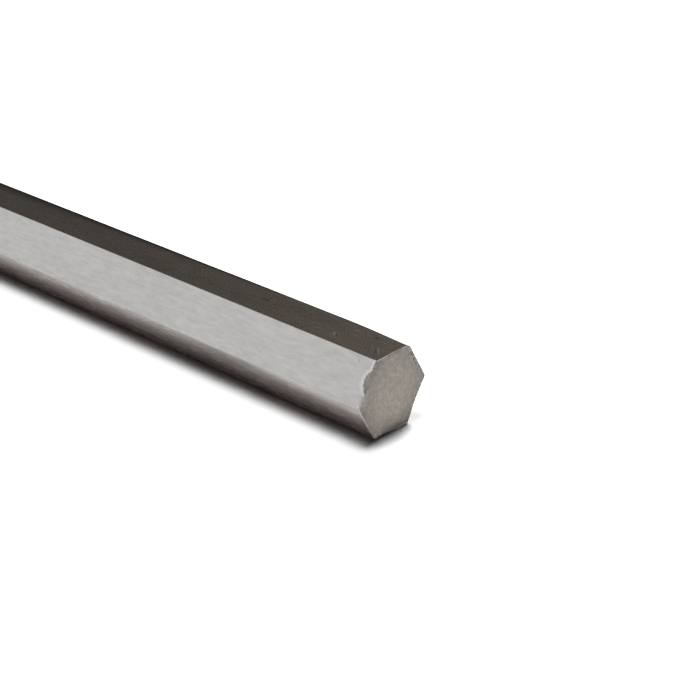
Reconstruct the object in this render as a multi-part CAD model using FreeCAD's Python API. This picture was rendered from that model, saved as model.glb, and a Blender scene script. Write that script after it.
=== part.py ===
"""Hexagonal bar stock: one sawn length of cold-drawn steel bar, lying on one of its flats.

Millimetres. +X runs along the bar to the end that was dressed by hand, +Z is up,
and the origin is the middle of the flat that the bar rests on.
"""

import FreeCAD, Part
import math
import os

# Section and length
across_flats = 25.4
bar_length = 304.8
long_edge_radius = 0.4

# The saw's burr, broken off all round both end faces
rim_break = 0.25

# Dressing of the +X end: five edges of its rim were touched on a grinding wheel, the upper
# front one twice. A touch reaches furthest along the flat and down the end face at its middle,
# and runs out at its half width to either side. The second upper front touch is a small one at
# the corner with the top flat. The upper back one is a long one round that flat's other corner,
# and the one on the resting flat is deepest beside the front.
upper_front_half_width = 3.9
upper_front_shift_to_top = 1.0
upper_front_reach_on_flat = 2.15
upper_front_reach_on_end = 0.65
top_front_corner_half_width = 3.4
top_front_corner_shift_to_top = 5.2
top_front_corner_reach_on_flat = 0.75
top_front_corner_reach_on_end = 0.3
top_half_width = 6.7
top_reach_on_flat = 0.5
top_reach_on_end = 0.35
upper_back_half_width = 11.0
upper_back_shift_to_top = 5.0
upper_back_reach_on_flat = 0.6
upper_back_reach_on_end = 1.05
lower_back_half_width = 6.7
lower_back_reach_on_flat = 0.4
lower_back_reach_on_end = 0.7
resting_half_width = 7.5
resting_shift_to_front = 5.1
resting_reach_on_flat = 0.7
resting_reach_on_end = 0.7

# Directions across the bar, in radians from +Y towards +Z
SIXTH_TURN = math.pi / 3
CORNERS = [k * SIXTH_TURN for k in range(6)]
TOP = math.pi / 2
UPPER_FRONT = TOP + SIXTH_TURN
UPPER_BACK = TOP - SIXTH_TURN
LOWER_BACK = UPPER_BACK - SIXTH_TURN
RESTING = LOWER_BACK - SIXTH_TURN

# Two lengths that differ by less than this are the same
SAME_LENGTH = 1e-6

axis_height = across_flats / 2
corner_distance = axis_height / math.cos(SIXTH_TURN / 2)
near_end = bar_length / 2
far_end = -bar_length / 2
along_bar = FreeCAD.Vector(1, 0, 0)


def facing(turn):
    """Unit vector across the bar in this direction."""
    return FreeCAD.Vector(0, math.cos(turn), math.sin(turn))


def across_flat(turn):
    """Unit vector across the bar on the flat that faces this way, anticlockwise as +X sees it."""
    return facing(turn + math.pi / 2)


def on_axis(x):
    """Point on the bar's own axis."""
    return FreeCAD.Vector(x, 0, axis_height)


def extrude_whole_length(outline):
    """Solid bar with this outline, which lies in the plane of the far end."""
    return Part.Face(outline).extrude(along_bar * bar_length)


def drawn_outline():
    """Closed section of the drawn bar: six flats, each joined to the next by a small arc."""
    centre = on_axis(far_end)
    arc_centre_distance = corner_distance - long_edge_radius / math.cos(SIXTH_TURN / 2)
    arcs = []
    for corner in CORNERS:
        arc_centre = centre + facing(corner) * arc_centre_distance
        start, middle, end = [
            arc_centre + facing(corner + turn) * long_edge_radius
            for turn in (-SIXTH_TURN / 2, 0, SIXTH_TURN / 2)
        ]
        arcs.append((start, middle, end))
    edges = []
    for this_arc, next_arc in zip(arcs, arcs[1:] + arcs[:1]):
        edges.append(Part.Arc(*this_arc).toShape())
        edges.append(Part.makeLine(this_arc[2], next_arc[0]))
    return Part.Wire(edges)


def sharp_outline():
    """The same hexagon with sharp corners."""
    centre = on_axis(far_end)
    corners = [centre + facing(corner) * corner_distance for corner in CORNERS]
    return Part.makePolygon(corners + corners[:1])


def with_broken_rims(bar):
    """The bar with the burr broken off along the rim of both ends."""
    envelope = extrude_whole_length(sharp_outline())
    rim_edges = [edge for edge in envelope.Edges if abs(edge.Length - bar_length) > SAME_LENGTH]
    return bar.common(envelope.makeChamfer(rim_break, rim_edges))


def wheel_touch(flat_direction, shift, half_width, reach_on_flat, reach_on_end):
    """Stretch of grinding wheel that takes one touch off the +X end's rim.

    The wheel's axis lies along the slope of the touch, whose middle is shifted across the flat
    from the flat's own middle. The radius follows from the depth and the half width.
    """
    flat_normal = facing(flat_direction)
    rim = on_axis(near_end) + flat_normal * axis_height + across_flat(flat_direction) * shift
    top_of_slope = rim - along_bar * reach_on_flat
    foot_of_slope = rim - flat_normal * reach_on_end
    slope = foot_of_slope - top_of_slope
    depth = reach_on_flat * reach_on_end / slope.Length
    outward = (flat_normal * reach_on_flat + along_bar * reach_on_end) / slope.Length
    wheel_radius = (half_width**2 + depth**2) / (2 * depth)
    # The wheel is three slopes wide, so that it runs past both ends of the touch
    wheel_start = top_of_slope + outward * wheel_radius - slope
    return Part.makeCylinder(wheel_radius, 3 * slope.Length, wheel_start, slope)


def hex_bar():
    """The whole bar, drawn, sawn off at both ends and dressed at one of them."""
    bar = with_broken_rims(extrude_whole_length(drawn_outline()))
    touches = [
        wheel_touch(
            UPPER_FRONT,
            -upper_front_shift_to_top,
            upper_front_half_width,
            upper_front_reach_on_flat,
            upper_front_reach_on_end,
        ),
        wheel_touch(
            UPPER_FRONT,
            -top_front_corner_shift_to_top,
            top_front_corner_half_width,
            top_front_corner_reach_on_flat,
            top_front_corner_reach_on_end,
        ),
        wheel_touch(TOP, 0, top_half_width, top_reach_on_flat, top_reach_on_end),
        wheel_touch(
            UPPER_BACK,
            upper_back_shift_to_top,
            upper_back_half_width,
            upper_back_reach_on_flat,
            upper_back_reach_on_end,
        ),
        wheel_touch(
            LOWER_BACK, 0, lower_back_half_width, lower_back_reach_on_flat, lower_back_reach_on_end
        ),
        wheel_touch(
            RESTING,
            -resting_shift_to_front,
            resting_half_width,
            resting_reach_on_flat,
            resting_reach_on_end,
        ),
    ]
    for touch in touches:
        bar = bar.cut(touch)
    return bar.Solids[0]


os.makedirs("parts", exist_ok=True)
hex_bar().exportStep("parts/hex_bar.step")
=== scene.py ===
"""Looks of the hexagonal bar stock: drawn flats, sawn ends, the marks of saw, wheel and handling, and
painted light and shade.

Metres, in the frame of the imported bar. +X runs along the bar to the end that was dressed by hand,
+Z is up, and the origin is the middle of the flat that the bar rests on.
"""

import math
from collections import namedtuple

import bpy
import numpy as np
from mathutils import Matrix, Vector


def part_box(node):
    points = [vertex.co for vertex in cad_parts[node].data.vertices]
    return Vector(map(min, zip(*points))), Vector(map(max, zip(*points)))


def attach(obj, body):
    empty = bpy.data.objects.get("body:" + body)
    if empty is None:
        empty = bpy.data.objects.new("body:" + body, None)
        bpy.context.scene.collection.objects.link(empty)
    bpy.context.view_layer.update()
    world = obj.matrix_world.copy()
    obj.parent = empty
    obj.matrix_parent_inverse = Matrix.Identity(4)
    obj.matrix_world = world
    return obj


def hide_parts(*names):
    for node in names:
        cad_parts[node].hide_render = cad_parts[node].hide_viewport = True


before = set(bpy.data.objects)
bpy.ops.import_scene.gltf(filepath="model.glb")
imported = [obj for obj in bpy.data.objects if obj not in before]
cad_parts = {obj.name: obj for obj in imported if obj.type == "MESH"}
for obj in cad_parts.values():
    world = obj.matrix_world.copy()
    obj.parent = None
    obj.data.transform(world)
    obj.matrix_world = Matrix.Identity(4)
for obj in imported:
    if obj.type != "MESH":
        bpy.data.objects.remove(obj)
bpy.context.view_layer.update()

MM = 0.001

# Section and length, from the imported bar
lowest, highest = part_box("hex_bar")
near_end = highest.x
far_end = lowest.x
bar_length = near_end - far_end
axis_height = (highest.z - lowest.z) / 2

# Directions across the bar, in radians from +Y towards +Z
SIXTH_TURN = math.pi / 3
CORNERS = [k * SIXTH_TURN for k in range(6)]
FLATS = [corner + SIXTH_TURN / 2 for corner in CORNERS]
UPPER_BACK, TOP, UPPER_FRONT, LOWER_FRONT, RESTING, LOWER_BACK = FLATS
FRONT_EDGE = CORNERS[3]
FRONT_FOOT = CORNERS[4]
BACK_TOP = CORNERS[1]

ALONG_BAR = np.array([1.0, 0.0, 0.0])

corner_distance = axis_height / math.cos(SIXTH_TURN / 2)
flat_width = corner_distance

# Edges, as in the bar's own source
long_edge_radius = 0.4 * MM
rim_break = 0.25 * MM

# Touches of the grinding wheel on the near end's rim. across runs from the middle of the flat,
# and each touch is deepest there and runs out at half_width to either side. The metal is torn
# along its border: on the flat down to the depth torn_on_flat, and on the end face as far as
# the wheel stands off by torn_on_end.
Touch = namedtuple(
    "Touch", "flat across half_width reach_on_flat reach_on_end torn_on_flat torn_on_end"
)
TOUCHES = [
    Touch(UPPER_FRONT, -1.0 * MM, 3.9 * MM, 2.15 * MM, 0.65 * MM, 0.3 * MM, 0.0),
    Touch(UPPER_FRONT, -5.2 * MM, 3.4 * MM, 0.75 * MM, 0.3 * MM, 0.2 * MM, 0.0),
    Touch(TOP, 0.0, 6.7 * MM, 0.5 * MM, 0.35 * MM, 0.0, 0.0),
    Touch(UPPER_BACK, 5.0 * MM, 11.0 * MM, 0.6 * MM, 1.05 * MM, 0.1 * MM, 0.4 * MM),
    Touch(LOWER_BACK, 0.0, 6.7 * MM, 0.4 * MM, 0.7 * MM, 0.1 * MM, 0.5 * MM),
    Touch(RESTING, -5.1 * MM, 7.5 * MM, 0.7 * MM, 0.7 * MM, 0.0, 0.0),
]

# A touch grinds the metal fully from this depth on, and burnishes it round its border as far as
# the wheel stands off by burnish_reach
full_grinding_depth = 0.07 * MM
burnish_reach = 0.4 * MM

# Wear of the long edges, as the least and the greatest radius that they are rolled over to
front_edge_radii = (0.5 * MM, 1.8 * MM)
other_edge_radii = (0.4 * MM, 0.7 * MM)

# Towards the near end two of the long edges are knocked over further, and the front one less
Knock = namedtuple("Knock", "edge more_radius reach")
KNOCKS = [
    Knock(BACK_TOP, 3.2 * MM, 13 * MM),
    Knock(FRONT_FOOT, 2.5 * MM, 4 * MM),
    Knock(FRONT_EDGE, -0.9 * MM, 7 * MM),
]

# Burrs that the saw left along the two lower rims of the near end. from_flat and from_end place
# a burr's crest, and shade is how much lighter its metal is painted there: a painted highlight.
Burr = namedtuple("Burr", "flat from_flat from_end shade")
BURRS = [
    Burr(LOWER_FRONT, 0.06 * MM, 0.15 * MM, 2.8),
    Burr(RESTING, 0.3 * MM, 0.0, 2.4),
]
burr_height = 0.08 * MM
burr_width = 0.34 * MM

# Slant of the saw's streaks on the ends, from +Y towards +Z
saw_slant = math.radians(52)

# Painted light and shade on the near end, lighter than the rest by tone, or darker where negative:
# the foot and the knocked corner at its front, which mirror the floor's shadow, are painted lighter,
# and a strip above the burr of the resting flat darker
PaintedSpot = namedtuple("PaintedSpot", "y z half_width half_height tone")
PAINTED_SPOTS = [
    PaintedSpot(-5.0 * MM, 0.0, 7.0 * MM, 7.0 * MM, 0.45),
    PaintedSpot(-6.5 * MM, 1.2 * MM, 1.8 * MM, 1.8 * MM, 0.8),
    PaintedSpot(5.0 * MM, 0.9 * MM, 4.0 * MM, 0.4 * MM, -0.4),
]

# Small marks of handling. from_end is measured from the near end, across from the middle
# of the flat, and turn is the mark's slant to the bar. tone is how much lighter its metal is.
Nick = namedtuple("Nick", "flat from_end across length width depth turn tone")
NICKS = [
    Nick(TOP, 51.5 * MM, -0.7 * MM, 3.0 * MM, 1.1 * MM, 0.04 * MM, math.radians(-26), -0.75),
    Nick(TOP, 50.1 * MM, -0.7 * MM, 2.8 * MM, 1.1 * MM, 0.05 * MM, math.radians(25), -0.7),
    Nick(TOP, 50.2 * MM, -2.2 * MM, 1.3 * MM, 1.1 * MM, 0.03 * MM, math.radians(60), -0.45),
    Nick(TOP, 46.4 * MM, -0.4 * MM, 1.7 * MM, 1.3 * MM, 0.05 * MM, math.radians(60), -0.6),
    Nick(TOP, 20.4 * MM, 2.4 * MM, 3.6 * MM, 0.8 * MM, 0.03 * MM, math.radians(47), 0.9),
    Nick(TOP, 19.3 * MM, 2.7 * MM, 2.6 * MM, 0.9 * MM, 0.05 * MM, math.radians(47), -0.6),
    Nick(TOP, 19.4 * MM, 1.7 * MM, 2.2 * MM, 0.7 * MM, 0.02 * MM, math.radians(47), 0.35),
    Nick(TOP, 16.7 * MM, -3.6 * MM, 3.4 * MM, 1.8 * MM, 0.01 * MM, math.radians(0), 0.35),
    Nick(TOP, 9.5 * MM, -3.6 * MM, 2.6 * MM, 1.6 * MM, 0.03 * MM, math.radians(60), -0.45),
    Nick(TOP, 4.0 * MM, 2.2 * MM, 6.4 * MM, 0.9 * MM, 0.03 * MM, math.radians(47), 0.75),
    Nick(TOP, 6.3 * MM, 2.2 * MM, 6.0 * MM, 1.1 * MM, 0.02 * MM, math.radians(47), 0.3),
    Nick(TOP, 4.4 * MM, 3.0 * MM, 4.0 * MM, 1.0 * MM, 0.03 * MM, math.radians(47), -0.4),
    Nick(UPPER_FRONT, 5.8 * MM, -5.6 * MM, 1.2 * MM, 0.6 * MM, 0.04 * MM, math.radians(50), -0.45),
    Nick(UPPER_FRONT, 6.9 * MM, -5.2 * MM, 1.0 * MM, 0.7 * MM, 0.02 * MM, math.radians(50), 0.2),
    Nick(UPPER_FRONT, 0.9 * MM, 6.5 * MM, 1.0 * MM, 0.8 * MM, 0.01 * MM, math.radians(60), 0.5),
    Nick(UPPER_FRONT, 22.5 * MM, 0.9 * MM, 1.6 * MM, 0.8 * MM, 0.02 * MM, math.radians(20), -0.1),
    Nick(UPPER_FRONT, 16.8 * MM, 5.8 * MM, 1.4 * MM, 0.7 * MM, 0.02 * MM, math.radians(30), -0.1),
    Nick(UPPER_FRONT, 46.8 * MM, 3.9 * MM, 3.0 * MM, 0.6 * MM, 0.01 * MM, math.radians(8), 0.08),
    Nick(UPPER_BACK, 96.0 * MM, 2.1 * MM, 1.9 * MM, 0.8 * MM, 0.06 * MM, math.radians(35), -0.3),
    Nick(LOWER_BACK, 212.0 * MM, -1.6 * MM, 1.6 * MM, 0.9 * MM, 0.07 * MM, math.radians(55), -0.3),
]

# Colours of the metal and of the films on it, each from its darkest to its lightest
CLEAN = ((0.428, 0.42, 0.41), (0.524, 0.515, 0.503))
BURNISHED = ((0.58, 0.574, 0.56), (0.66, 0.652, 0.638))
# The films' warm colour is partly a painted warm tint of the dark surroundings that those flats mirror
BROWN_FILM_AND_TINT = ((0.47, 0.408, 0.388), (0.56, 0.49, 0.466))
OLIVE_FILM_AND_TINT = ((0.45, 0.43, 0.378), (0.54, 0.515, 0.456))
SAWN_MIDDLE = ((0.262, 0.235, 0.211), (0.348, 0.315, 0.285))
SAWN_RIM = ((0.19, 0.172, 0.161), (0.27, 0.249, 0.232))
TORN = ((0.1, 0.092, 0.086), (0.36, 0.336, 0.305))
WHITE = (1.0, 1.0, 1.0)

# Camera of the photograph, found from the bar's long edges and the corners of its near end
IMAGE_SIZE = 700
SENSOR_WIDTH = 36.0
focal_length_in_pixels = 1578.0
camera_azimuth = math.radians(40.90)
camera_elevation = math.radians(26.61)
camera_roll = math.radians(1.03)
camera_distance = 447.5 * MM
aim_right_of_end = -12.20 * MM
aim_above_end = 12.07 * MM

# Floor: what it scatters, what the camera sees where it is lit, and what the metal mirrors.
# shadow_fill is the little light that the surroundings send into the bar's shadow.
floor_size = 6.0
floor_colour = (0.25, 0.25, 0.245)
floor_seen_as = (1.28, 1.28, 1.28)
floor_mirrored_as = (0.79, 0.79, 0.78)
shadow_fill = (0.01, 0.009, 0.009)

# Lamps: slant of each from straight overhead, along the bar and across it, and its share of the light.
# A strip light across the bar hangs over it, as a row of lamps, and another light stands behind.
Lamp = namedtuple("Lamp", "name slant_along slant_across spread share")
strip_slant_along = math.radians(-8.8)
strip_middle = math.radians(-6.6)
strip_half_length = math.radians(8.2)
strip_steps = (-1, -1 / 3, 1 / 3, 1)
strip_spread = math.radians(18.9)
strip_share = 0.8
LAMPS = [
    Lamp(
        name=f"strip lamp {number}",
        slant_along=strip_slant_along,
        slant_across=strip_middle + step * strip_half_length,
        spread=strip_spread,
        share=strip_share / len(strip_steps),
    )
    for number, step in enumerate(strip_steps)
]
LAMPS.append(
    Lamp(
        name="back lamp",
        slant_along=math.radians(-27.5),
        slant_across=math.radians(44.8),
        spread=math.radians(31.3),
        share=0.63,
    )
)

# Sockets of the Mix node, which shows those of all its data types
MIX_FACTOR = 0
MIX_FLOATS = (2, 3)
MIX_COLOURS = (6, 7)
MIX_FLOAT_RESULT = 0
MIX_COLOUR_RESULT = 2


# Places on the bar

def facing(turn):
    """Unit vector across the bar in this direction."""
    return np.array([0.0, math.cos(turn), math.sin(turn)])


def along_flat(turn):
    """Unit vector that runs across the bar on the flat that faces this way."""
    return np.array([0.0, -math.sin(turn), math.cos(turn)])


def on_axis(x):
    """Point on the bar's own axis."""
    return np.array([x, 0.0, axis_height])


def from_near_end(points):
    """Distance from the near end."""
    return near_end - points[:, 0]


def from_edge(points, flat):
    """Distance across a flat from its edge on the clockwise side, as +X sees it."""
    return flat_width / 2 + (points - on_axis(0)) @ along_flat(flat)


def below_flat(points, flat):
    """Depth below the plane of a flat."""
    return axis_height - (points - on_axis(0)) @ facing(flat)


def ramp(distance, width):
    """0 up to where the distance is 0, then rising evenly to 1 at this width and staying there."""
    return np.clip(distance / width, 0, 1)


def patch(distance, half_width, middle=0.0):
    """1 where the distance is middle, falling softly away to nothing past half_width from there."""
    return np.exp(-(((distance - middle) / half_width) ** 2))


def ragged(points, height, bump, seed):
    """Smooth random values, seldom past this height up or down, in bumps about this long."""
    wave_count = 12
    turn_over_bump = 2.4
    random = np.random.default_rng(seed)
    waves = random.normal(size=(3, wave_count)) * turn_over_bump / bump
    shifts = random.uniform(0, 2 * math.pi, wave_count)
    return height * (np.sin(points @ waves + shifts).sum(axis=1) / (wave_count / 2))


# Grid of the mesh

def graded(length, finest, coarsest, growth):
    """Marks from 0 to length, whose steps start at finest and grow to coarsest."""
    steps = [finest]
    while sum(steps) < length:
        steps.append(min(steps[-1] * growth, coarsest))
    marks = np.cumsum([0.0] + steps)
    return marks * length / marks[-1]


def flat_marks():
    """Places across a flat from one rounded edge to the next, close together beside the edges."""
    half = flat_width / 2 - long_edge_radius * math.tan(SIXTH_TURN / 2)
    inwards = graded(half, finest=0.05 * MM, coarsest=0.45 * MM, growth=1.5)
    return np.concatenate([inwards - half, half - inwards[-2::-1]])


def section_ring():
    """Offsets from the axis round the drawn section, and the flat that each belongs to."""
    steps_round_arc = 6
    arc_centre_distance = corner_distance - long_edge_radius / math.cos(SIXTH_TURN / 2)
    arc_turns = np.linspace(-SIXTH_TURN / 2, SIXTH_TURN / 2, steps_round_arc + 1)[1:-1]
    ring = []
    flats = []
    for corner, flat in zip(CORNERS, FLATS):
        arc_centre = facing(corner) * arc_centre_distance
        for turn in arc_turns:
            ring.append(arc_centre + facing(corner + turn) * long_edge_radius)
            flats.append(flat if turn > 0 else flat - SIXTH_TURN)
        for across in flat_marks():
            ring.append(facing(flat) * axis_height + along_flat(flat) * across)
            flats.append(flat)
    return np.array(ring), np.array(flats)


def stations():
    """Places along the bar, close together at both ends and at the nicks."""
    nick_step = 0.3 * MM
    nick_reach = 0.7
    end_zone = 2 * MM
    least_step_in_end_zone = 0.06 * MM
    least_step = 0.24 * MM
    half = bar_length / 2
    marks = [
        near_end - graded(half, finest=0.07 * MM, coarsest=2.4 * MM, growth=1.045),
        far_end + graded(half, finest=0.08 * MM, coarsest=2.4 * MM, growth=1.2),
    ]
    for nick in NICKS:
        centre = near_end - nick.from_end
        reach = nick_reach * nick.length
        marks.append(np.arange(centre - reach, min(centre + reach, near_end), nick_step))
    marks = np.unique(np.concatenate(marks))
    kept = [marks[0]]
    for mark in marks[1:-1]:
        in_end_zone = min(near_end - mark, mark - far_end) < end_zone
        if mark - kept[-1] > (least_step_in_end_zone if in_end_zone else least_step):
            kept.append(mark)
    return np.array(kept + [marks[-1]])


def rings_along_bar():
    """Place along the bar and scale of each ring, from the middle of the far end to that of the near."""
    near_inwards = graded(axis_height, finest=0.07 * MM, coarsest=0.6 * MM, growth=1.07)[1:-1]
    far_inwards = graded(axis_height, finest=0.08 * MM, coarsest=0.7 * MM, growth=1.3)[1:-1]
    near_scales = 1 - near_inwards / axis_height
    far_scales = 1 - far_inwards / axis_height
    sides = stations()
    places = [np.full(len(far_scales), far_end), sides, np.full(len(near_scales), near_end)]
    scales = [far_scales[::-1], np.ones(len(sides)), near_scales]
    return np.concatenate(places), np.concatenate(scales)


def grid_faces(rows, width):
    """Faces between rings of this width, and two fans to the vertices after the last ring."""
    this_row, this_column = np.meshgrid(np.arange(rows - 1), np.arange(width), indexing="ij")
    next_column = (this_column + 1) % width
    quads = np.stack(
        [
            this_row * width + this_column,
            this_row * width + next_column,
            (this_row + 1) * width + next_column,
            (this_row + 1) * width + this_column,
        ],
        axis=-1,
    ).reshape(-1, 4)
    columns = np.arange(width)
    following = (columns + 1) % width
    last_row = (rows - 1) * width
    far_middle = rows * width
    near_middle = far_middle + 1
    far_fan = np.stack([np.full(width, far_middle), following, columns], axis=-1)
    near_fan = np.stack([np.full(width, near_middle), last_row + columns, last_row + following], axis=-1)
    return quads.tolist() + far_fan.tolist() + near_fan.tolist()


# Shaping of the metal

def cut_by_plane(points, normal, surface_point, roughness):
    """Push what stands proud of a plane back onto it."""
    proud = (points - surface_point) @ normal + roughness
    return points - np.maximum(proud, 0)[:, None] * normal


def cut_by_wheel(points, touch, roughness):
    """Push the points inside the wheel of this touch out to its surface, and tell how deep they were."""
    flat_normal = facing(touch.flat)
    rim = on_axis(near_end) + flat_normal * axis_height + along_flat(touch.flat) * touch.across
    top_of_slope = rim - ALONG_BAR * touch.reach_on_flat
    slope = ALONG_BAR * touch.reach_on_flat - flat_normal * touch.reach_on_end
    slope_length = np.linalg.norm(slope)
    slope = slope / slope_length
    outward = (flat_normal * touch.reach_on_flat + ALONG_BAR * touch.reach_on_end) / slope_length
    depth = touch.reach_on_flat * touch.reach_on_end / slope_length
    wheel_radius = (touch.half_width**2 + depth**2) / (2 * depth)
    wheel_centre = top_of_slope + outward * wheel_radius
    from_centre = points - wheel_centre
    from_axis = from_centre - (from_centre @ slope)[:, None] * slope
    distance = np.linalg.norm(from_axis, axis=1)
    depth_in_wheel = wheel_radius + roughness - distance
    taken = np.maximum(depth_in_wheel, 0)
    return points + from_axis * (taken / distance)[:, None], depth_in_wheel


def wear_long_edges(points):
    """Roll the long edges over to a wavering radius, the front one most."""
    along = points * [1, 0, 0]
    for corner in CORNERS:
        least, most = front_edge_radii if corner == FRONT_EDGE else other_edge_radii
        seed = round(corner * 10)
        long_waves = ragged(along, height=0.4, bump=13 * MM, seed=seed)
        short_waves = ragged(along, height=0.2, bump=3 * MM, seed=seed + 1)
        radius = least + (most - least) * np.clip(0.5 + long_waves + short_waves, 0, 1)
        for knock in KNOCKS:
            if knock.edge == corner:
                radius += knock.more_radius * patch(from_near_end(points), knock.reach)
        radius = np.maximum(radius, long_edge_radius)
        to_arc_centre = corner_distance - radius / math.cos(SIXTH_TURN / 2)
        arc_centre = along + on_axis(0) + to_arc_centre[:, None] * facing(corner)
        offset = points - arc_centre
        distance = np.linalg.norm(offset, axis=1)
        faces_arc = offset @ facing(corner) > distance * math.cos(SIXTH_TURN / 2)
        proud = faces_arc & (distance > radius)
        scale = np.where(proud, radius / np.maximum(distance, long_edge_radius), 1)
        points = arc_centre + offset * scale[:, None]
    return points


def press_nicks(points, flats):
    """Press the nicks into their flats, each with a low lip round it, and tell how they shade the metal."""
    roundness = 1.5
    lip_height = 0.2
    lip_reach = 1.15
    lip_width = 0.25
    shade = np.ones(len(points))
    for nick in NICKS:
        centre = on_axis(near_end - nick.from_end) + facing(nick.flat) * axis_height
        offset = points - centre - along_flat(nick.flat) * nick.across
        along = offset[:, 0]
        across = offset @ along_flat(nick.flat)
        lengthwise = (along * math.cos(nick.turn) + across * math.sin(nick.turn)) / (nick.length / 2)
        crosswise = (across * math.cos(nick.turn) - along * math.sin(nick.turn)) / (nick.width / 2)
        reach = np.hypot(lengthwise, crosswise)
        hollow = np.clip(1 - reach**2, 0, None) ** roundness
        lip = lip_height * patch(reach, half_width=lip_width, middle=lip_reach)
        on_flat = (flats == nick.flat) & (from_near_end(points) > rim_break)
        height = nick.depth * (lip - hollow) * on_flat
        points = points + height[:, None] * facing(nick.flat)
        shade *= 1 + nick.tone * hollow * on_flat
    return points, shade


def wave_sawn_ends(points, on_end):
    """Leave the low waves of the saw on both ends."""
    wave_height = 0.02 * MM
    stretch = 0.85
    streak = np.array([0.0, math.cos(saw_slant), math.sin(saw_slant)])
    stretched = points - (points @ streak)[:, None] * streak * stretch
    depth = wave_height * (1 + ragged(stretched, height=1.0, bump=1.6 * MM, seed=11))
    inward = np.where(points[:, 0] > 0, -1.0, 1.0) * on_end
    return points + (inward * depth)[:, None] * ALONG_BAR


def break_rims(points):
    """Break the saw's burr off along the rims of both ends."""
    for end, outward in ((near_end, ALONG_BAR), (far_end, -ALONG_BAR)):
        roughness = ragged(points, height=0.03 * MM, bump=0.6 * MM, seed=3)
        for flat in FLATS:
            normal = (facing(flat) + outward) / math.sqrt(2)
            surface_point = on_axis(end) + facing(flat) * (axis_height - rim_break)
            points = cut_by_plane(points, normal, surface_point, roughness)
    return points


def raise_burrs(points, on_end):
    """Raise the burrs of the near end, and tell where they stand and the painted highlight along them."""
    standing = np.zeros(len(points))
    shade = np.ones(len(points))
    for number, burr in enumerate(BURRS):
        from_crest = np.hypot(
            below_flat(points, burr.flat) - burr.from_flat,
            from_near_end(points) - burr.from_end,
        )
        raggedness = ragged(points, height=0.5, bump=1.2 * MM, seed=60 + number)
        here = patch(from_crest, burr_width / 2) * np.clip(0.8 + raggedness, 0, 1)
        shade = np.where(here > standing, burr.shade, shade)
        standing = np.maximum(standing, here)
    points = points + (burr_height * standing * on_end)[:, None] * ALONG_BAR
    return points, standing, shade


def torn_border(points, on_end, touch, depth, seed):
    """How torn the metal is along the border of a touch, where its points were this deep in the wheel."""
    softness_on_flat = 0.03 * MM
    softness_on_end = 0.15 * MM
    torn = np.zeros(len(points))
    if touch.torn_on_flat:
        middle = touch.torn_on_flat / 2
        torn = np.where(on_end, torn, 1 - abs(depth - middle) / (middle + softness_on_flat))
    if touch.torn_on_end:
        torn = np.where(on_end, (depth + touch.torn_on_end) / softness_on_end, torn)
    raggedness = ragged(points, height=0.6, bump=1.7 * MM, seed=seed)
    return np.clip(torn * np.clip(0.7 + raggedness, 0, 1), 0, 1)


def scuffed_foot(points, on_end):
    """How torn the metal is in the corner of the near end at the front foot, which is knocked about."""
    inset = 1.4 * MM
    reach = 2.2 * MM
    softness = 1.2 * MM
    middle = on_axis(0) + facing(FRONT_FOOT) * (corner_distance - inset)
    from_middle = np.linalg.norm((points - middle) * [0, 1, 1], axis=1)
    return ramp(reach - from_middle, softness) * on_end * (points[:, 0] > 0)


def soft_rim(points):
    """1 at the lower third of the upper front flat's near rim, where the dressing fades out and the end is
    painted lighter.
    """
    return patch(from_edge(points, UPPER_FRONT), half_width=3 * MM, middle=12 * MM)


def touch_rim(points, on_end):
    """Take the wheel's touches off the near end's rim, and mark what they leave."""
    ground = np.zeros(len(points))
    scuffed = np.zeros(len(points))
    burnished = np.zeros(len(points))
    for number, touch in enumerate(TOUCHES):
        roughness = ragged(points, height=0.035 * MM, bump=1.1 * MM, seed=20 + number)
        roughness += ragged(points, height=0.035 * MM, bump=0.4 * MM, seed=40 + number)
        points, depth = cut_by_wheel(points, touch, roughness)
        ground = np.maximum(ground, ramp(depth, full_grinding_depth))
        burnished = np.maximum(burnished, ramp(depth + burnish_reach, burnish_reach))
        scuffed = np.maximum(scuffed, torn_border(points, on_end, touch, depth, seed=70 + number))
    scuffed = np.maximum(scuffed, scuffed_foot(points, on_end))
    beside_soft_rim = 0.5 * soft_rim(points) * patch(from_near_end(points), half_width=1.3 * MM)
    ground = np.where(on_end, ground, np.maximum(ground, beside_soft_rim))
    return points, {"ground": ground, "scuffed": scuffed, "burnished": burnished}


# Shade of the metal, as a factor on its plain colour, much of it painted light and shade

def top_painted_shade(points):
    """Painted shade of the top flat, darker away from the near end and in a line along its back edge."""
    far_shade = 0.52
    more_at_near_end = 0.63
    fading_length = 70 * MM
    line_start = 20 * MM
    line_growth = 0.02
    line_widths = (0.3 * MM, 3 * MM)
    line_strength = 0.85
    from_end = from_near_end(points)
    line_width = np.clip((from_end - line_start) * line_growth, *line_widths)
    line = line_strength * patch(from_edge(points, TOP), line_width)
    return (far_shade + more_at_near_end * np.exp(-from_end / fading_length)) * (1 - line)


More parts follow.
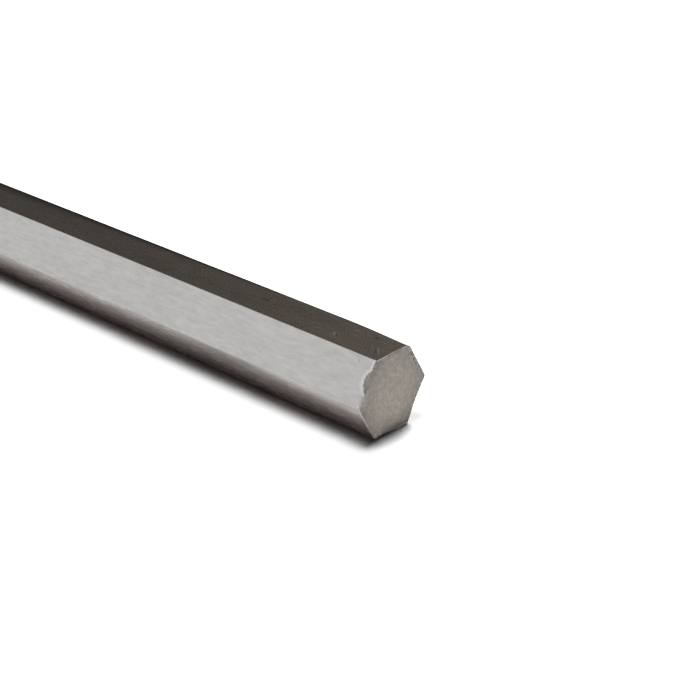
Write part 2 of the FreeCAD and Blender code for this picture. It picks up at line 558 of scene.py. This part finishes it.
def lower_front_painted_light(points):
    """Painted light and shade on the lower front flat, with a highlight along the front edge but for one
    stretch.
    """
    plain = 1.2
    from_end = from_near_end(points)
    from_front_edge = from_edge(points, LOWER_FRONT)
    # Painted highlight along the front edge, where the flat mirrors the lit floor, but for one stretch
    stretch_without_highlight = patch(from_end, half_width=15 * MM, middle=52 * MM)
    painted_highlight = 0.36 * (1 - stretch_without_highlight) + 0.3 * patch(from_end, half_width=25 * MM)
    painted_highlight_band = patch(from_front_edge, half_width=2.6 * MM, middle=1.5 * MM)
    painted_highlight_band *= ramp(from_front_edge, 0.8 * MM)
    # Painted shade in a line along the front edge away from the near end, a darker stretch, and painted
    # light at the foot, where the flat mirrors the floor's shadow
    dark_line = 0.3 * patch(from_front_edge, half_width=0.4 * MM)
    dark_line *= 1 - patch(from_end, half_width=16 * MM)
    darker_stretch = 0.16 * patch(from_end, half_width=22 * MM, middle=68 * MM)
    lighter_foot = 0.5 * patch(flat_width - from_front_edge, half_width=6 * MM)
    return (1 + painted_highlight * painted_highlight_band) * (plain - darker_stretch - dark_line + lighter_foot)


def upper_front_painted_shade(points):
    """Painted shade of the upper front flat, a little darker beside the front edge."""
    from_front_edge = flat_width - from_edge(points, UPPER_FRONT)
    return 1 - 0.05 * patch(from_front_edge, half_width=1.2 * MM)


def near_end_painted_shading(points):
    """Painted light and shade on the near end: a few spots, and lighter beside the soft stretch of its rim.
    """
    shade = 1 + 0.38 * soft_rim(points) * patch(below_flat(points, UPPER_FRONT), half_width=1.8 * MM)
    for spot in PAINTED_SPOTS:
        here = patch(points[:, 1], spot.half_width, spot.y) * patch(points[:, 2], spot.half_height, spot.z)
        shade += spot.tone * here
    return shade


def plain_shade(points, flats, on_end):
    """Painted light and shade of the flats and of the two ends, apart from nicks, touches and burrs."""
    shade = np.ones(len(points))
    shades = {TOP: top_painted_shade, LOWER_FRONT: lower_front_painted_light, UPPER_FRONT: upper_front_painted_shade}
    for flat, shade_on_flat in shades.items():
        shade = np.where(flats == flat, shade_on_flat(points), shade)
    shade = np.where(on_end, 1, shade)
    return np.where(on_end & (points[:, 0] > 0), near_end_painted_shading(points), shade)


def touch_shade(points, flats, on_end, ground):
    """Shade of the touches: painted light on the top and upper front flats, and darker by the lower back
    one.
    """
    least = 0.1
    away_from_end = np.maximum(ramp(from_near_end(points), 1.4 * MM), least)
    upper_front = 0.3 * away_from_end * (flats == UPPER_FRONT) * ~on_end
    top = 0.05 * (flats == TOP) * ~on_end
    lower_back = -0.25 * (flats == LOWER_BACK) * on_end
    return 1 + (upper_front + top + lower_back) * ground


def film_and_painted_tint_marks(points, flats):
    """Where the flats carry a film, partly a painted warm tint, worn off beside the front edge, and where
    it is brown throughout.
    """
    filmed = np.isin(flats, [TOP, LOWER_FRONT, LOWER_BACK])
    left_by_front_edge = ramp(from_edge(points, LOWER_FRONT), 5 * MM)
    tarnish_and_tint = np.where(flats == LOWER_FRONT, left_by_front_edge, filmed)
    return {"tarnish_and_tint": tarnish_and_tint, "browned": flats == LOWER_FRONT}


def sawn_shade(points):
    """0 in the middle of an end, rising ever more steeply to 1 at its rim."""
    from_axis = np.hypot(points[:, 1], points[:, 2] - axis_height)
    return ramp(from_axis, axis_height) ** 3


# Mesh of the bar

def shaped_and_marked(points, flats, on_end):
    """The bar's points with all its wear, and the marks that its materials read."""
    points = wear_long_edges(points)
    points, nick_shade = press_nicks(points, flats)
    points = wave_sawn_ends(points, on_end)
    points = break_rims(points)
    points, burr, burr_highlight = raise_burrs(points, on_end)
    points, marks = touch_rim(points, on_end)
    burr *= 1 - marks["ground"]
    marks["ground"] = np.maximum(marks["ground"], burr)
    shade = nick_shade * plain_shade(points, flats, on_end)
    shade = shade * touch_shade(points, flats, on_end, marks["ground"])
    # Along the burrs the shade gives way to their painted highlight
    marks["shade"] = shade * (1 - burr) + burr_highlight * burr
    marks.update(film_and_painted_tint_marks(points, flats))
    marks["sawn_shade"] = sawn_shade(points)
    return points, marks


def bar_mesh():
    """The whole bar as one closed grid of rings, with a vertex in the middle of each end."""
    marks_in_middles = {"shade": 1}
    ring, ring_flats = section_ring()
    places, scales = rings_along_bar()
    points = np.concatenate([on_axis(x) + ring * scale for x, scale in zip(places, scales)])
    flats = np.tile(ring_flats, len(places))
    on_end = np.repeat(scales < 1, len(ring))
    points, marks = shaped_and_marked(points, flats, on_end)

    middles = [on_axis(far_end), on_axis(near_end)]
    vertices = np.concatenate([points, middles])
    mesh = bpy.data.meshes.new("drawn_hex_bar")
    mesh.from_pydata(vertices.tolist(), [], grid_faces(len(places), len(ring)))
    mesh.validate()

    sawn_rows = (scales[:-1] < 1) | (scales[1:] < 1)
    sawn = np.concatenate([np.repeat(sawn_rows, len(ring)), np.ones(2 * len(ring), bool)])
    mesh.polygons.foreach_set("material_index", sawn.astype(np.int32))
    for name, values in marks.items():
        in_middles = [marks_in_middles.get(name, 0)] * len(middles)
        add_attribute(mesh, name, np.concatenate([values, in_middles]))
    mesh.shade_smooth()
    mesh.set_sharp_from_angle(angle=math.radians(30))
    return mesh


def add_attribute(mesh, name, values):
    """Keep one number per vertex for the materials to read."""
    attribute = mesh.attributes.new(name, "FLOAT", "POINT")
    attribute.data.foreach_set("value", np.asarray(values, np.float32))


# Materials

def node(tree, kind, inputs=None, **settings):
    """New shader node with these settings, and with a value or a link on each named input."""
    made = tree.nodes.new(kind)
    for name, value in settings.items():
        setattr(made, name, value)
    for key, value in (inputs or {}).items():
        if isinstance(value, bpy.types.NodeSocket):
            tree.links.new(value, made.inputs[key])
        else:
            made.inputs[key].default_value = value
    return made


def rgba(colour):
    """A colour with the alpha that colour sockets want."""
    return (*colour, 1.0)


def grain(tree, size, turn=0.0, detail=2.0):
    """Soft noise from 0 to 1 in grains of this size along X, Y and Z, turned about the bar's axis."""
    place = node(tree, "ShaderNodeTexCoord").outputs["Object"]
    settings = {"Vector": place, "Rotation": (turn, 0, 0), "Scale": size}
    placed = node(tree, "ShaderNodeMapping", settings, vector_type="TEXTURE")
    noise_inputs = {"Vector": placed.outputs[0], "Scale": 1.0, "Detail": detail}
    return node(tree, "ShaderNodeTexNoise", noise_inputs).outputs[0]


def spread(tree, value, low, high, to_low=0.0, to_high=1.0):
    """The value's range from low to high, stretched onto another and held at its ends."""
    inputs = {
        "Value": value,
        "From Min": low,
        "From Max": high,
        "To Min": to_low,
        "To Max": to_high,
    }
    return node(tree, "ShaderNodeMapRange", inputs).outputs[0]


def mix(tree, factor, a, b):
    """Mix of two numbers."""
    inputs = {MIX_FACTOR: factor, MIX_FLOATS[0]: a, MIX_FLOATS[1]: b}
    return node(tree, "ShaderNodeMix", inputs).outputs[MIX_FLOAT_RESULT]


def mix_colour(tree, factor, a, b):
    """Mix of two colours."""
    a, b = [c if isinstance(c, bpy.types.NodeSocket) else rgba(c) for c in (a, b)]
    inputs = {MIX_FACTOR: factor, MIX_COLOURS[0]: a, MIX_COLOURS[1]: b}
    return node(tree, "ShaderNodeMix", inputs, data_type="RGBA").outputs[MIX_COLOUR_RESULT]


def scaled_colour(tree, colour, factor):
    """Colour made darker or lighter by a factor."""
    inputs = {0: colour, "Scale": factor}
    return node(tree, "ShaderNodeVectorMath", inputs, operation="SCALE").outputs[0]


def math_node(tree, operation, a, b):
    """One sum on two numbers."""
    return node(tree, "ShaderNodeMath", {0: a, 1: b}, operation=operation).outputs[0]


def attribute(tree, name):
    """Number kept on the mesh."""
    return node(tree, "ShaderNodeAttribute", attribute_name=name).outputs["Fac"]


def new_material(name):
    """Empty node material, with its tree and its output."""
    material = bpy.data.materials.new(name)
    material.use_nodes = True
    material.node_tree.nodes.clear()
    output = node(material.node_tree, "ShaderNodeOutputMaterial")
    return material, material.node_tree, output


Finish = namedtuple("Finish", "colour roughness relief")


def drawn_finish(tree):
    """Satin steel with draw lines along the bar and soft mottling, and a warm film on some flats, partly a
    painted tint.
    """
    mottling = grain(tree, (4.5 * MM, 1.1 * MM, 1.1 * MM), detail=3)
    broad = grain(tree, (24 * MM, 5 * MM, 5 * MM))
    draw_lines = grain(tree, (70 * MM, 0.25 * MM, 0.25 * MM), detail=3)
    tone = spread(tree, mix(tree, 0.3, mottling, broad), low=0.32, high=0.68)
    clean = mix_colour(tree, tone, *CLEAN)
    burnished = mix_colour(tree, tone, *BURNISHED)
    clean = mix_colour(tree, attribute(tree, "burnished"), clean, burnished)
    blotches = grain(tree, (6 * MM, 2 * MM, 2 * MM), detail=1)
    cross_grain = grain(tree, (0.9 * MM, 3 * MM, 3 * MM))
    cloud = mix(tree, 0.3, mix(tree, 0.5, blotches, broad), cross_grain)
    cloud = spread(tree, cloud, low=0.34, high=0.66)
    brown = mix_colour(tree, cloud, *BROWN_FILM_AND_TINT)
    olive = mix_colour(tree, cloud, *OLIVE_FILM_AND_TINT)
    browned = spread(tree, grain(tree, (11 * MM, 5 * MM, 5 * MM), detail=1), low=0.4, high=0.6)
    browned = math_node(tree, "MAXIMUM", browned, attribute(tree, "browned"))
    film = mix_colour(tree, browned, olive, brown)
    colour = mix_colour(tree, attribute(tree, "tarnish_and_tint"), clean, film)
    wear = mix(tree, 0.5, tone, draw_lines)
    roughness = spread(tree, wear, low=0.2, high=0.8, to_low=0.22, to_high=0.3)
    return Finish(colour, roughness, mix(tree, 0.5, draw_lines, mottling))


def sawn_finish(tree):
    """Duller, browner steel with the fine slanting streaks of a saw blade, darker towards the rim."""
    streaks = grain(tree, (1.0, 1.25 * MM, 0.7 * MM), turn=saw_slant, detail=3)
    patches = grain(tree, (1.0, 5 * MM, 2.6 * MM), turn=saw_slant)
    tone = spread(tree, mix(tree, 0.35, streaks, patches), low=0.35, high=0.65)
    middle = mix_colour(tree, tone, *SAWN_MIDDLE)
    rim = mix_colour(tree, tone, *SAWN_RIM)
    colour = mix_colour(tree, attribute(tree, "sawn_shade"), middle, rim)
    roughness = spread(tree, streaks, low=0.3, high=0.7, to_low=0.58, to_high=0.48)
    return Finish(colour, roughness, streaks)


def scuffed_finish(tree):
    """Torn steel, speckled dark, along the border of a wheel touch."""
    speckle = grain(tree, (0.7 * MM,) * 3, detail=3)
    colour = mix_colour(tree, spread(tree, speckle, low=0.38, high=0.62), *TORN)
    roughness = spread(tree, speckle, low=0.3, high=0.7, to_low=0.55, to_high=0.42)
    return Finish(colour, roughness, speckle)


def mix_finish(tree, factor, a, b):
    """Mix of two finishes."""
    return Finish(
        mix_colour(tree, factor, a.colour, b.colour),
        mix(tree, factor, a.roughness, b.roughness),
        mix(tree, factor, a.relief, b.relief),
    )


def metal_shader(tree, output, plain_finish, relief_height):
    """Metal with this finish, scuffed and shaded where the mesh says so."""
    finish = mix_finish(tree, attribute(tree, "scuffed"), plain_finish, scuffed_finish(tree))
    relief = {"Height": finish.relief, "Strength": 1.0, "Distance": relief_height}
    inputs = {
        "Base Color": scaled_colour(tree, finish.colour, attribute(tree, "shade")),
        "Roughness": finish.roughness,
        "Metallic": 1.0,
        "Normal": node(tree, "ShaderNodeBump", relief).outputs[0],
    }
    shader = node(tree, "ShaderNodeBsdfPrincipled", inputs)
    tree.links.new(shader.outputs[0], output.inputs["Surface"])
    return shader


def drawn_steel():
    """The bar's long sides, down to the touches of the wheel, which look like the sawn end."""
    material, tree, output = new_material("drawn steel")
    finish = mix_finish(tree, attribute(tree, "ground"), drawn_finish(tree), sawn_finish(tree))
    shader = metal_shader(tree, output, finish, relief_height=0.004 * MM)
    tangent = node(tree, "ShaderNodeTangent", direction_type="RADIAL", axis="X")
    shader.inputs["Anisotropic"].default_value = 0.7
    tree.links.new(tangent.outputs[0], shader.inputs["Tangent"])
    return material


def sawn_steel():
    """The bar's two ends."""
    material, tree, output = new_material("sawn steel")
    metal_shader(tree, output, sawn_finish(tree), relief_height=0.008 * MM)
    return material


# Stage

def seen_by_camera(tree):
    """1 where the camera looks, and 0 elsewhere."""
    return node(tree, "ShaderNodeLightPath").outputs["Is Camera Ray"]


def mirrored(tree):
    """1 where the camera looks by reflection or refraction, and 0 where the floor gathers light."""
    path = node(tree, "ShaderNodeLightPath")
    glossy = path.outputs["Is Glossy Ray"]
    transmitted = path.outputs["Is Transmission Ray"]
    by_metal = math_node(tree, "MAXIMUM", glossy, transmitted)
    not_by_floor = math_node(tree, "LESS_THAN", path.outputs["Diffuse Depth"], 0.5)
    return math_node(tree, "MULTIPLY", by_metal, not_by_floor)


def add_world():
    """White surroundings, which light the floor itself only faintly."""
    world = bpy.data.worlds.new("white surroundings")
    world.use_nodes = True
    tree = world.node_tree
    tree.nodes.clear()
    seen = math_node(tree, "MAXIMUM", seen_by_camera(tree), mirrored(tree))
    colour = mix_colour(tree, seen, shadow_fill, WHITE)
    background = node(tree, "ShaderNodeBackground", {"Color": colour, "Strength": 1.0})
    output = node(tree, "ShaderNodeOutputWorld")
    tree.links.new(background.outputs[0], output.inputs["Surface"])
    bpy.context.scene.world = world


def sheet_object(name, corners):
    """Flat four-cornered mesh object, as part of the stage."""
    mesh = bpy.data.meshes.new(name)
    mesh.from_pydata(corners, [], [(0, 1, 2, 3)])
    sheet = bpy.data.objects.new(name, mesh)
    bpy.context.scene.collection.objects.link(sheet)
    return sheet


def add_floor():
    """Pale floor that is seen as white, apart from the bar's shadow."""
    half = floor_size / 2
    floor = sheet_object("floor", [(-half, -half, 0), (half, -half, 0), (half, half, 0), (-half, half, 0)])
    material, tree, output = new_material("pale floor")
    colour = mix_colour(tree, mirrored(tree), floor_colour, floor_mirrored_as)
    colour = mix_colour(tree, seen_by_camera(tree), colour, floor_seen_as)
    surface = node(tree, "ShaderNodeBsdfDiffuse", {"Color": colour})
    tree.links.new(surface.outputs[0], output.inputs["Surface"])
    floor.data.materials.append(material)


def add_dark_card():
    """Dark warm card behind the bar on the left, which only the bar's reflections show."""
    card_distance = 0.4
    card_left = -2.2
    card_right = 0.08
    card_height = 2.6
    card_colour = (0.125, 0.115, 0.105)
    card = sheet_object(
        "dark_card",
        [
            (card_left, card_distance, 0),
            (card_right, card_distance, 0),
            (card_right, card_distance, card_height),
            (card_left, card_distance, card_height),
        ],
    )
    card.visible_camera = False
    card.visible_diffuse = False
    card.visible_transmission = False
    card.visible_shadow = False
    material, tree, output = new_material("dark card")
    glow = node(tree, "ShaderNodeEmission", {"Color": rgba(card_colour), "Strength": 1.0})
    tree.links.new(glow.outputs[0], output.inputs["Surface"])
    card.data.materials.append(material)


def add_lamp(lamp):
    """Broad soft lamp that lights the floor round the bar, and that the metal itself doesn't mirror."""
    towards_lamp = Vector((math.tan(lamp.slant_along), math.tan(lamp.slant_across), 1)).normalized()
    light = bpy.data.lights.new(lamp.name, "SUN")
    light.energy = math.pi * lamp.share / towards_lamp.z
    light.angle = lamp.spread
    holder = bpy.data.objects.new(lamp.name, light)
    bpy.context.scene.collection.objects.link(holder)
    holder.rotation_euler = towards_lamp.to_track_quat("Z", "Y").to_euler()
    holder.visible_glossy = False


def add_camera():
    """Camera that sees the bar as the photograph does."""
    camera = bpy.data.cameras.new("camera")
    camera.sensor_width = SENSOR_WIDTH
    camera.lens = focal_length_in_pixels / IMAGE_SIZE * SENSOR_WIDTH
    level_right = Vector((math.cos(camera_azimuth), math.sin(camera_azimuth), 0))
    back = Vector(
        (
            math.sin(camera_azimuth) * math.cos(camera_elevation),
            -math.cos(camera_azimuth) * math.cos(camera_elevation),
            math.sin(camera_elevation),
        )
    )
    level_up = back.cross(level_right)
    right = level_right * math.cos(camera_roll) + level_up * math.sin(camera_roll)
    up = back.cross(right)
    aim = Vector(on_axis(near_end)) + right * aim_right_of_end + up * aim_above_end
    place = Matrix((right, up, back)).transposed().to_4x4()
    place.translation = aim + back * camera_distance
    holder = bpy.data.objects.new("camera", camera)
    holder.matrix_world = place
    bpy.context.scene.collection.objects.link(holder)
    bpy.context.scene.camera = holder


bar = bpy.data.objects.new("drawn_hex_bar", bar_mesh())
bar.data.materials.append(drawn_steel())
bar.data.materials.append(sawn_steel())
bpy.context.scene.collection.objects.link(bar)
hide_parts("hex_bar")
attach(bar, "root")

add_world()
add_floor()
add_dark_card()
for lamp in LAMPS:
    add_lamp(lamp)
add_camera()
bpy.context.scene.view_settings.view_transform = "Standard"
